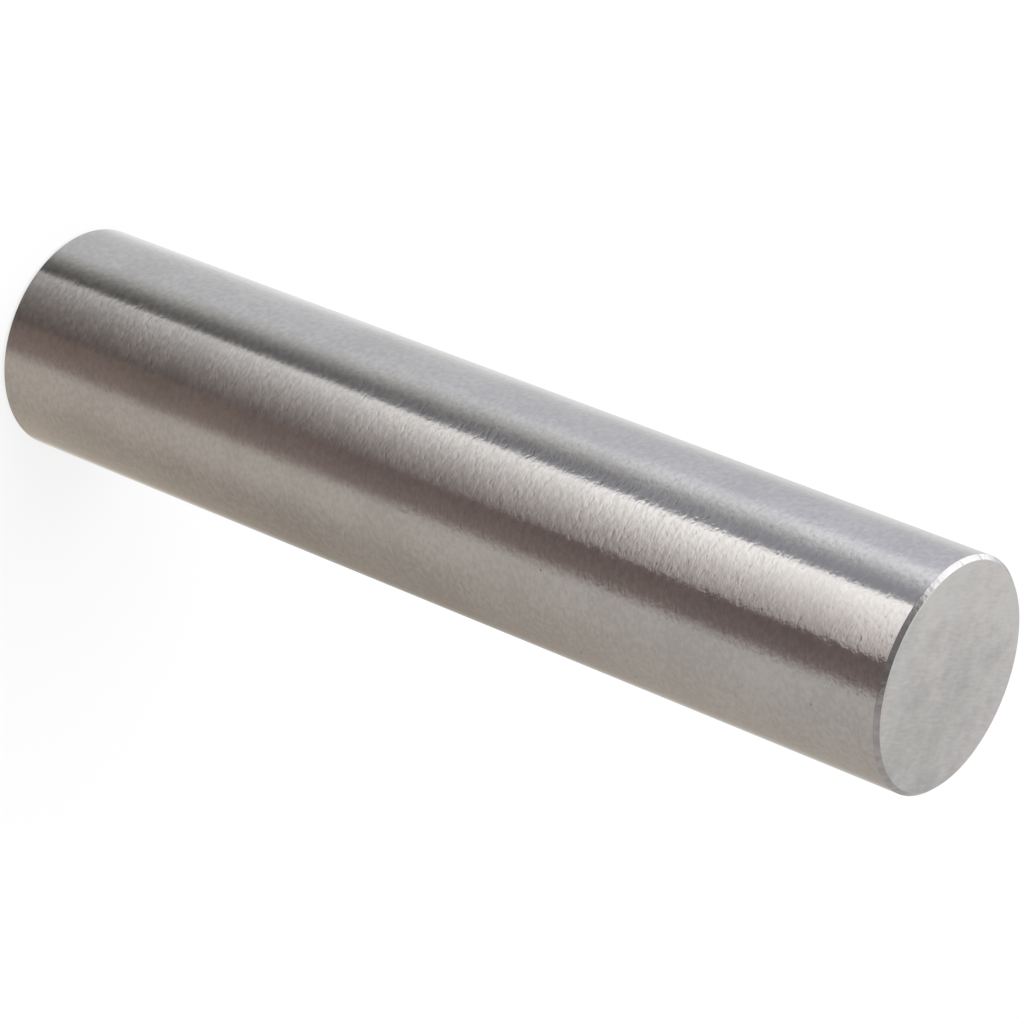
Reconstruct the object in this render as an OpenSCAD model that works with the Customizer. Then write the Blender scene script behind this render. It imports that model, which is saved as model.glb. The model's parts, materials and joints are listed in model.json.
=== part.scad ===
// Plug gauge: a plain cylindrical gauge pin, turned and ground from one bar of
// hardened steel. The whole length of the cylinder is the gauging surface, and
// the two flat ends carry a small chamfer that leads the pin into a bore.
// The pin stands on its lower end: the origin is the centre of that face, and
// +Z runs along the axis. Sizes are in millimetres.

/* [Gauging cylinder] */

// Gauging diameter of the pin (0.430 inch)
gauge_d = 10.922; // [6:0.001:25.4]

// Overall length over both end faces (2 inches)
pin_length = 50.8; // [25.4:0.1:101.6]

/* [End chamfers] */

// Depth of the lower chamfer, measured inwards across the end face
lower_chamfer_depth = 0.2; // [0.05:0.05:0.8]

// Height of the lower chamfer along the axis
lower_chamfer_height = 0.2; // [0.05:0.05:0.8]

// Depth of the upper chamfer, measured inwards across the end face
upper_chamfer_depth = 0.2; // [0.05:0.05:0.8]

// Height of the upper chamfer along the axis
upper_chamfer_height = 0.2; // [0.05:0.05:0.8]

/* [Hidden] */

// Radius of the gauging cylinder
gauge_r = gauge_d / 2;

// Number of facets in a preview of the round surfaces
round_facets = 180;

// Half section of the pin, from the centre of the lower end face outwards,
// up the gauging surface and back to the centre of the upper end face
module pin_half_section() {
    polygon([
        [0, 0],
        [gauge_r - lower_chamfer_depth, 0],
        [gauge_r, lower_chamfer_height],
        [gauge_r, pin_length - upper_chamfer_height],
        [gauge_r - upper_chamfer_depth, pin_length],
        [0, pin_length]
    ]);
}

// The solid pin: its half section turned once round the axis
module gauge_pin() {
    color([0.62, 0.61, 0.59])
        rotate_extrude($fn = round_facets)
            pin_half_section();
}

gauge_pin();
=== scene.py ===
import json
import math

import bmesh
import bpy
from mathutils import Matrix, Vector


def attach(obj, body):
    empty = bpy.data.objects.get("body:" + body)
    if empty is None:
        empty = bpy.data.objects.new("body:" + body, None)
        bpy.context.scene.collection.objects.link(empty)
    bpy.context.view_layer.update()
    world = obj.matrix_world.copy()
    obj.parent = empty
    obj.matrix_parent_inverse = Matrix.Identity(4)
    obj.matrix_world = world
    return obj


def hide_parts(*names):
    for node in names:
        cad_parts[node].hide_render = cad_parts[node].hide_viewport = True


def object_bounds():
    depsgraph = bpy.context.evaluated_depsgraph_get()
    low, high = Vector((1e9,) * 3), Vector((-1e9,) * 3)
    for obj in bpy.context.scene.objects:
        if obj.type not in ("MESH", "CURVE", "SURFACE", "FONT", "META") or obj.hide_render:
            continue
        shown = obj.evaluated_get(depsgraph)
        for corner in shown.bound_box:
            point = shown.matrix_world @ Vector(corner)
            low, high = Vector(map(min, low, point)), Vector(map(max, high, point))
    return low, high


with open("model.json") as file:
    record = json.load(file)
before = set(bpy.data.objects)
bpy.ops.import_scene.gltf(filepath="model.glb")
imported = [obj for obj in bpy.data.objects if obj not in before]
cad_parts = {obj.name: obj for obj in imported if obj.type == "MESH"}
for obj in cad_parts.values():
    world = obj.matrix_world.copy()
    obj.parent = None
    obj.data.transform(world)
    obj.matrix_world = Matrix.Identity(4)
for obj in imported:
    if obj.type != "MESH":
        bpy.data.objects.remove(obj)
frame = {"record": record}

mm = 0.001
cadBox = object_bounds()
mounts = {mount["name"]: mount for mount in frame["record"]["mounts"]}
print("frame loaded")


# Shader maths. A wrapped socket is used like a number. A noise takes its cycles a metre
# along X, Y and Z.

class Wire:
    def __init__(self, graph, socket):
        self.graph = graph
        self.socket = socket

    def __add__(self, other):
        return self.graph.math("ADD", self, other)

    def __sub__(self, other):
        return self.graph.math("SUBTRACT", self, other)

    def __rsub__(self, other):
        return self.graph.math("SUBTRACT", other, self)

    def __mul__(self, other):
        return self.graph.math("MULTIPLY", self, other)

    __radd__ = __add__
    __rmul__ = __mul__


class Graph:
    def __init__(self, owner):
        owner.use_nodes = True
        self.tree = owner.node_tree
        self.tree.nodes.clear()

    def node(self, kind, settings=None, inputs=None, output=0):
        made = self.tree.nodes.new(kind)
        for name, value in (settings or {}).items():
            setattr(made, name, value)
        for name, value in (inputs or {}).items():
            if isinstance(value, Wire):
                self.tree.links.new(value.socket, made.inputs[name])
            else:
                made.inputs[name].default_value = value
        return Wire(self, made.outputs[output]) if made.outputs else None

    def math(self, operation, *values):
        return self.node("ShaderNodeMath", {"operation": operation}, dict(enumerate(values)))

    def share(self, value, low, high, kind="SMOOTHSTEP"):
        ends = {"From Min": low, "From Max": high}
        return self.node(
            "ShaderNodeMapRange", {"interpolation_type": kind}, {"Value": value, **ends}
        )

    def mixColour(self, factor, first, second, blend="MIX"):
        settings = {"data_type": "RGBA", "blend_type": blend}
        return self.node("ShaderNodeMix", settings, {0: factor, 6: first, 7: second}, output=2)

    def noise(self, cycles, detail=2.0, roughness=0.5, turn=0.0):
        place = self.node("ShaderNodeTexCoord", output="Object")
        if turn:  # a Mapping node scales before it turns, so the turn has its own
            place = self.node("ShaderNodeMapping", {}, {"Vector": place, "Rotation": (0.0, 0.0, turn)})
        place = self.node("ShaderNodeMapping", {}, {"Vector": place, "Scale": cycles})
        sizes = {"Scale": 1.0, "Detail": detail, "Roughness": roughness}
        return self.node("ShaderNodeTexNoise", {}, {"Vector": place, **sizes})

    def along(self, axis):
        place = self.node("ShaderNodeTexCoord", output="Object")
        return self.node("ShaderNodeSeparateXYZ", {}, {"Vector": place}, output=axis)

    def bump(self, height, depth):
        return self.node(
            "ShaderNodeBump", {}, {"Strength": 1.0, "Distance": depth, "Height": height}
        )

    def seen(self, *rays):
        shares = [self.node("ShaderNodeLightPath", output=ray) for ray in rays]
        total = shares[0]
        for share in shares[1:]:
            total = self.math("MAXIMUM", total, share)
        return total

    def surface(self, shader):
        self.node("ShaderNodeOutputMaterial", {}, {"Surface": shader})


def tint(level, red=0.0, blue=0.0):
    return (level * (1.0 + red), level, level * (1.0 + blue), 1.0)


def addObject(name, made):
    mesh = bpy.data.meshes.new(name)
    made.to_mesh(mesh)
    made.free()
    piece = bpy.data.objects.new(name, mesh)
    bpy.context.scene.collection.objects.link(piece)
    return piece


# Camera. The pin stands, and the frame is turned so that its axis falls to the right.

camera = {
    "lens": 168.02,  # mm, on a sensor 36 mm wide
    "distance": 217.53 * mm,
    "lookDown": math.radians(33.17),
    "axisFall": math.radians(21.40),  # slope of the pin's axis across the frame
    "aimRight": 1.104 * mm,  # the frame's centre, from the middle of the pin
    "aimDown": 0.730 * mm,
    "nearest": 10.0 * mm,
    "farthest": 20.0,
}


def makeCamera(c):
    forward = Vector((0.0, math.cos(c["lookDown"]), -math.sin(c["lookDown"])))
    level = Vector((1.0, 0.0, 0.0))
    turn = Matrix.Rotation(-math.radians(90.0) - c["axisFall"], 3, forward)
    right = turn @ level
    up = right.cross(forward)
    middle = (Vector(cadBox[0]) + Vector(cadBox[1])) / 2
    place = middle - forward * c["distance"] + right * c["aimRight"] - up * c["aimDown"]
    data = bpy.data.cameras.new("camera")
    data.lens = c["lens"]
    data.clip_start = c["nearest"]
    data.clip_end = c["farthest"]
    holder = bpy.data.objects.new("camera", data)
    turned = Matrix((right, up, -forward)).transposed()
    holder.matrix_world = Matrix.Translation(place) @ turned.to_4x4()
    bpy.context.scene.collection.objects.link(holder)
    bpy.context.scene.camera = holder


makeCamera(camera)
print("camera placed")


# The pin: one turned profile, with every edge lightly broken.

pin = {
    "radius": mounts["gauging_cylinder"]["dims"]["r_mm"] * mm,
    "wall": mounts["gauging_cylinder"]["dims"]["length_mm"] * mm,  # between the chamfers
    "length": mounts["upper_face"]["pos_m"][2],
    "edgeBreak": 0.012 * mm,
    "edgeSteps": 2,
    "steps": 288,
    "rimAngle": math.radians(20.0),  # a sharper edge than this gets broken
    "wallRise": 0.35,  # a face whose normal rises less than this is wall
    "faceRise": 0.93,  # and more than this is end face, with the chamfers between
}


def makePin(p):
    chamfer = (p["length"] - p["wall"]) / 2
    outline = [
        (0.0, 0.0),
        (p["radius"] - chamfer, 0.0),
        (p["radius"], chamfer),
        (p["radius"], p["length"] - chamfer),
        (p["radius"] - chamfer, p["length"]),
        (0.0, p["length"]),
    ]
    made = bmesh.new()
    points = [made.verts.new((x, 0.0, z)) for x, z in outline]
    lines = [made.edges.new(pair) for pair in zip(points, points[1:])]
    bmesh.ops.spin(
        made,
        geom=points + lines,
        cent=(0.0, 0.0, 0.0),
        axis=(0.0, 0.0, 1.0),
        angle=math.tau,
        steps=p["steps"],
        use_merge=True,
    )
    bmesh.ops.remove_doubles(made, verts=made.verts, dist=1e-7)
    bmesh.ops.recalc_face_normals(made, faces=made.faces)
    rims = [edge for edge in made.edges if edge.calc_face_angle(0.0) > p["rimAngle"]]
    bmesh.ops.bevel(
        made,
        geom=rims,
        affect="EDGES",
        offset=p["edgeBreak"],
        segments=p["edgeSteps"],
        profile=0.5,
        material=-1,
    )
    for face in made.faces:
        face.smooth = True
        rise = abs(face.normal.z)
        face.material_index = 0 if rise < p["wallRise"] else 2 if rise > p["faceRise"] else 1
    trueRises = (0.0, math.sqrt(0.5), 1.0)  # the wall, a chamfer and an end face
    for edge in made.edges:
        rises = [abs(face.normal.z) for face in edge.link_faces]
        isTrue = any(abs(rise - true) < 1e-4 for rise in rises for true in trueRises)
        if isTrue and abs(rises[0] - rises[1]) > 1e-3:
            edge.smooth = False  # the shading of the broken edges stops here
    return addObject("groundPin", made)


pinPiece = makePin(pin)
print("pin modelled:", len(pinPiece.data.polygons), "faces")


# Finishes

groundWall = {
    "colour": tint(0.622, 0.01, -0.01),
    "dark": tint(0.54, 0.01, -0.01),
    "tones": (0.36, 0.64),  # the noise that makes it dark, and the one that makes it light
    "grainInTone": 0.6,  # the rest is cloud
    "grain": (3400.0, 3400.0, 4300.0),  # short marks that run round the pin
    "stroke": (2800.0, 2800.0, 4600.0),
    "cloud": (260.0, 260.0, 260.0),
    "grainDepth": 0.0060 * mm,
    "ticks": (0.46, 0.18),  # deeper marks, where the strokes fall to these levels
    "tickDepth": 0.40,  # as a share of the grain's
    "tickDark": 0.5,
    "handled": (12.0 * mm, 45.0 * mm),  # the marks grow stronger between these heights
    "handledMarks": 0.8,
    "cloudMarks": 2.2,
    "calm": 0.5,  # taken off the marks, so that they fade where the cloud is thin
    "nick": tint(0.35),
    "nickSize": (1500.0, 1500.0, 2600.0),
    "nicks": (0.20, 0.18),
    "nickDepth": 2.0,
    "roughness": 0.17,
    "roughnessSpread": 0.06,
    "anisotropy": 0.60,
}


def makeGroundWall(w):
    material = bpy.data.materials.new("groundWall")
    g = Graph(material)
    grain = g.noise(w["grain"])
    cloud = g.noise(w["cloud"], detail=3.0)
    tick = g.share(g.noise(w["stroke"], detail=1.0), *w["ticks"])
    nick = g.share(g.noise(w["nickSize"], detail=1.0), *w["nicks"])
    handled = g.share(g.along("Z"), *w["handled"])
    strength = handled * w["handledMarks"] + cloud * w["cloudMarks"] - w["calm"]
    height = (grain - tick * w["tickDepth"]) * strength - nick * w["nickDepth"]
    mottle = grain * w["grainInTone"] + cloud * (1.0 - w["grainInTone"])
    tone = g.share(mottle, *w["tones"]) - tick * w["tickDark"]
    steel = g.mixColour(tone, w["dark"], w["colour"])
    shader = g.node(
        "ShaderNodeBsdfPrincipled",
        {},
        {
            "Base Color": g.mixColour(nick, steel, w["nick"]),
            "Metallic": 1.0,
            "Roughness": grain * w["roughnessSpread"] + (w["roughness"] - w["roughnessSpread"] / 2),
            "Anisotropic": w["anisotropy"],
            "Anisotropic Rotation": 0.25,  # the lobe is long across the marks
            "Normal": g.bump(height, w["grainDepth"]),
        },
    )
    g.surface(shader)
    return material


turnedRing = {
    "colour": tint(0.63, 0.01, -0.01),
    "stain": tint(0.53, 0.04, 0.03),
    "stainSize": (2600.0, 2600.0, 1800.0),
    "stains": (0.36, 0.64),
    "notch": tint(0.40),
    "notchSize": (1400.0, 1400.0, 600.0),
    "notches": (0.30, 0.26),
    "turned": (700.0, 700.0, 30000.0),  # fine lines round the chamfer
    "turnedDepth": 0.04,  # as a share of the chatter's
    "chatter": (4200.0, 4200.0, 1500.0),  # small ridges across the chamfer
    "chatterDepth": 0.017 * mm,
    "roughness": 0.18,
    "roughnessSpread": 0.06,
    "anisotropy": 0.5,
}


def makeTurnedRing(r):
    material = bpy.data.materials.new("turnedRing")
    g = Graph(material)
    lines = g.noise(r["turned"])
    chatter = g.noise(r["chatter"])
    stain = g.share(g.noise(r["stainSize"], detail=3.0), *r["stains"])
    notch = g.share(g.noise(r["notchSize"], detail=1.0), *r["notches"])
    steel = g.mixColour(stain, r["colour"], r["stain"])
    shader = g.node(
        "ShaderNodeBsdfPrincipled",
        {},
        {
            "Base Color": g.mixColour(notch, steel, r["notch"]),
            "Metallic": 1.0,
            "Roughness": lines * r["roughnessSpread"] + (r["roughness"] - r["roughnessSpread"] / 2),
            "Anisotropic": r["anisotropy"],
            "Anisotropic Rotation": 0.25,
            "Normal": g.bump(chatter + lines * r["turnedDepth"], r["chatterDepth"]),
        },
    )
    g.surface(shader)
    return material


endFace = {
    "warm": tint(0.71, 0.038, -0.018),
    "cool": tint(0.71, 0.008, -0.028),
    "hues": (0.42, 0.58),
    "hueSize": (260.0, 260.0, 90.0),
    "dark": 0.69,  # the darkest tone, as a share of the brightest
    "tones": (0.31, 0.69),
    "lay": math.radians(-78.0),  # the direction of the grinding lines, from +X
    "lines": (1500.0, 7000.0, 1500.0),
    "lineDepth": 0.006 * mm,
    "streaks": (700.0, 3000.0, 700.0),
    "cloud": (480.0, 480.0, 480.0),
    "shares": (0.35, 0.10, 0.55),  # of lines, streaks and cloud in the tone
    "paintedSideReflection": 0.15,  # painted reflection: how much brighter the side towards -X is
    "rimBrightening": 0.06,  # how much brighter the face is towards its rim
    "rim": (0.5, 0.95),  # where that starts and is full, as shares of the radius
    "roughness": 0.38,
    "roughnessSpread": 0.08,
}


def makeEndFace(e):
    material = bpy.data.materials.new("endFace")
    g = Graph(material)
    lines = g.noise(e["lines"], turn=-e["lay"])
    streaks = g.noise(e["streaks"], detail=1.0)
    cloud = g.noise(e["cloud"], detail=3.0, roughness=0.7)
    stain = g.noise(e["hueSize"], detail=3.0, roughness=0.6)
    x = g.along("X")
    y = g.along("Y")
    rimStart, rimFull = (share * pin["radius"] for share in e["rim"])
    rim = g.share(g.math("SQRT", x * x + y * y), rimStart, rimFull) * e["rimBrightening"]
    # painted reflection: the base colour is made brighter towards -X, and also brighter towards the
    # rim
    paintedReflectionAndRim = x * (-e["paintedSideReflection"] / pin["radius"]) + rim
    lineShare, streakShare, cloudShare = e["shares"]
    ground = lines * lineShare + streaks * streakShare + cloud * cloudShare
    tone = g.share(ground + paintedReflectionAndRim, *e["tones"], "LINEAR")
    hue = g.mixColour(g.share(stain, *e["hues"]), e["cool"], e["warm"])
    level = g.mixColour(tone, tint(e["dark"]), tint(1.0))
    shader = g.node(
        "ShaderNodeBsdfPrincipled",
        {},
        {
            "Base Color": g.mixColour(1.0, hue, level, "MULTIPLY"),
            "Metallic": 1.0,
            "Roughness": lines * e["roughnessSpread"] + (e["roughness"] - e["roughnessSpread"] / 2),
            "Normal": g.bump(lines, e["lineDepth"]),
        },
    )
    g.surface(shader)
    return material


for finish in (makeGroundWall(groundWall), makeTurnedRing(turnedRing), makeEndFace(endFace)):
    pinPiece.data.materials.append(finish)
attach(pinPiece, "root")
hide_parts("gauge_pin")
print("finishes made")


# Stage: a pale floor, a soft lamp and a plain white sky.

stage = {
    "floorRadius": 3.0,
    "floorSides": 96,
    "floorColour": tint(0.86),
    "floorLift": 0.8,  # share of plain white in what the camera sees
    "skyForSurfaces": 0.75,
    "lampPlace": (-0.25, -0.10, 0.60),
    "lampSize": 0.5,
    "lampWatts": 3.0,
}


def makeFloor(s):
    made = bmesh.new()
    bmesh.ops.create_circle(made, cap_ends=True, segments=s["floorSides"], radius=s["floorRadius"])
    floor = addObject("floor", made)
    material = bpy.data.materials.new("floor")
    g = Graph(material)
    paper = g.node("ShaderNodeBsdfDiffuse", {}, {"Color": s["floorColour"]})
    white = g.node("ShaderNodeEmission", {}, {"Strength": 1.0})
    lift = g.seen("Is Camera Ray", "Is Transmission Ray") * s["floorLift"]
    g.surface(g.node("ShaderNodeMixShader", {}, {0: lift, 1: paper, 2: white}))
    floor.data.materials.append(material)
    floor.visible_glossy = False


def makeSky(s):
    world = bpy.data.worlds.new("sky")
    bpy.context.scene.world = world
    g = Graph(world)
    white = g.seen("Is Camera Ray", "Is Glossy Ray", "Is Transmission Ray")
    level = white * (1.0 - s["skyForSurfaces"]) + s["skyForSurfaces"]
    sky = g.node("ShaderNodeBackground", {}, {"Color": tint(1.0), "Strength": level})
    g.node("ShaderNodeOutputWorld", {}, {"Surface": sky})


def makeLamp(s):
    data = bpy.data.lights.new("softLamp", "AREA")
    data.shape = "DISK"
    data.size = s["lampSize"]
    data.energy = s["lampWatts"]
    lamp = bpy.data.objects.new("softLamp", data)
    place = Vector(s["lampPlace"])
    turn = place.to_track_quat("Z", "Y").to_matrix()
    lamp.matrix_world = Matrix.Translation(place) @ turn.to_4x4()
    lamp.visible_glossy = False
    bpy.context.scene.collection.objects.link(lamp)


# Screen: pale and dark cards in a ring, which only reflections show. A card starts at a
# bearing, 0 towards the camera and 90 towards +X, and runs on to the next. It has a pair
# of colours, for its left and right edges, below its sill and another above it, or one
# plain pair. Its sill has a height at either edge, and its rise is how soft the sill is.

screen = {
    "radius": 400.0 * mm,
    "sides": 96,
    "foot": -4000.0 * mm,
    "top": 2170.0 * mm,
    "cards": [
        {
            "from": -180, "soft": 1, "sill": (-245.0 * mm, -245.0 * mm), "rise": 207.0 * mm,
            "below": (tint(1.02), tint(1.01)),
            "above": (tint(0.73), tint(0.95)),
        },
        {
            "from": -146, "soft": 30, "sill": (-225.0 * mm, -225.0 * mm), "rise": 207.0 * mm,
            "below": (tint(0.82), tint(0.71, 0.0, 0.03)),
            "above": (tint(0.67, 0.0, 0.05), tint(0.80, 0.0, 0.13)),
        },
        {
            "from": -92, "soft": 16, "sill": (-200.0 * mm, -195.0 * mm), "rise": 140.0 * mm,
            "below": (tint(0.75, 0.0, 0.03), tint(0.65, 0.0, -0.02)),
            "above": (tint(1.28, 0.0, 0.05), tint(1.22, 0.0, 0.03)),
        },
        {
            "from": -72.5, "soft": 24, "sill": (-169.0 * mm, -262.0 * mm), "rise": 60.0 * mm,
            "below": (tint(0.34, 0.03, -0.06), tint(0.01, 0.5, -0.5)),
            "above": (tint(0.61, 0.0, 0.07), tint(0.38, 0.0, 0.14)),
        },
        {
            "from": -48, "soft": 4, "sill": (-274.0 * mm, -160.0 * mm), "rise": 260.0 * mm,
            "below": (tint(0.21, 0.05, -0.05), tint(0.10, 0.30, -0.10)),
            "above": (tint(1.80, 0.02, -0.02), tint(1.01, 0.10, -0.04)),
        },
        {
            "from": 8, "soft": 3, "sill": (-236.0 * mm, -236.0 * mm), "rise": 207.0 * mm,
            "below": (tint(0.17, 0.32, -0.12), tint(0.27, 0.26, -0.10)),
            "above": (tint(0.11, 0.34, -0.04), tint(0.19, 0.30, -0.04)),
        },
        {
            "from": 41, "soft": 15, "sill": (-236.0 * mm, -236.0 * mm), "rise": 207.0 * mm,
            "below": (tint(0.51, 0.12, -0.12), tint(0.51, 0.16, -0.16)),
            "above": (tint(0.60, 0.03, -0.04), tint(0.44, 0.12, -0.12)),
        },
        {
            "from": 160, "soft": 26, "sill": (-236.0 * mm, -236.0 * mm), "rise": 207.0 * mm,
            "below": (tint(0.94, 0.03, -0.05), tint(0.99, 0.03, -0.05)),
            "above": (tint(0.65, 0.02, -0.04), tint(0.66, 0.02, -0.04)),
        },
    ],
    "overhead": [
        {
            "from": -180, "soft": 1, "sill": (168.0 * mm, 168.0 * mm), "rise": 150.0 * mm,
            "below": (tint(0.10), tint(1.12)),
            "above": (tint(0.77), tint(0.77)),
        },
        {
            "from": -148, "soft": 22, "sill": (64.0 * mm, 64.0 * mm), "rise": 60.0 * mm,
            "below": (tint(0.98), tint(0.90)),
            "above": (tint(1.75), tint(1.66)),
        },
        {
            "from": -80, "soft": 48,
            "plain": (tint(0.31), tint(0.14, 0.08, -0.05)),
        },
        {
            "from": 49, "soft": 30,
            "plain": (tint(0.39, 0.06, -0.04), tint(0.51, 0.03, -0.04)),
        },
        {
            "from": 159, "soft": 12, "sill": (168.0 * mm, 168.0 * mm), "rise": 150.0 * mm,
            "below": (tint(0.68, 0.0, -0.02), tint(0.44)),
            "above": (tint(0.77), tint(0.77)),
        },
    ],
    "cardsEnd": -120.0 * mm,  # between these heights the cards turn into the overhead ones
    "overheadStarts": -60.0 * mm,
    "shade": {  # a dull patch half way up the warm side
        "from": 61.5, "to": 100, "height": (-282.0 * mm, -238.0 * mm), "reach": 68.0 * mm,
        "share": 0.50, "colour": tint(0.14, 0.2, -0.2),
    },
}


def slant(along, ends):
    left, right = ends
    return along * (right - left) + left


def paintCard(g, along, z, card):
    if "plain" in card:
        return g.mixColour(along, *card["plain"])
    below = g.mixColour(along, *card["below"])
    above = g.mixColour(along, *card["above"])
    height = z - slant(along, card["sill"])
    return g.mixColour(g.share(height, -card["rise"] / 2, card["rise"] / 2), below, above)


def paintCards(g, bearing, z, cards):
    colour = cards[0]["below"][0]
    ends = [card["from"] for card in cards[1:]] + [180]
    for card, end in zip(cards, ends):
        along = g.share(bearing, card["from"], end, "LINEAR")
        edge = g.share(bearing, card["from"] - card["soft"] / 2, card["from"] + card["soft"] / 2)
        colour = g.mixColour(edge, colour, paintCard(g, along, z, card))
    return colour


def paintShade(g, bearing, z, colour, shade):
    height = z - slant(g.share(bearing, shade["from"], 180, "LINEAR"), shade["height"])
    patch = g.share(height, -shade["reach"], 0.0) * g.share(height, shade["reach"], 0.0)
    patch = patch * g.share(bearing, shade["from"], shade["to"]) * shade["share"]
    return g.mixColour(patch, colour, shade["colour"])


def makeScreen(s):
    made = bmesh.new()
    ends = [made.verts.new((0.0, -s["radius"], z)) for z in (s["foot"], s["top"])]
    bmesh.ops.spin(
        made,
        geom=ends + [made.edges.new(ends)],
        cent=(0.0, 0.0, 0.0),
        axis=(0.0, 0.0, 1.0),
        angle=math.tau,
        steps=s["sides"],
        use_merge=True,
    )
    ring = addObject("cardScreen", made)
    material = bpy.data.materials.new("cardScreen")
    g = Graph(material)
    z = g.along("Z")
    bearing = g.math("ARCTAN2", g.along("X"), 0.0 - g.along("Y")) * math.degrees(1.0)
    low = paintShade(g, bearing, z, paintCards(g, bearing, z, s["cards"]), s["shade"])
    overhead = paintCards(g, bearing, z, s["overhead"])
    colour = g.mixColour(g.share(z, s["cardsEnd"], s["overheadStarts"]), low, overhead)
    g.surface(g.node("ShaderNodeEmission", {}, {"Color": colour, "Strength": 1.0}))
    ring.data.materials.append(material)
    for ray in ("camera", "diffuse", "transmission", "volume_scatter", "shadow"):
        setattr(ring, "visible_" + ray, False)


makeFloor(stage)
makeSky(stage)
makeLamp(stage)
makeScreen(screen)
bpy.context.scene.view_settings.view_transform = "Standard"
print("stage set")
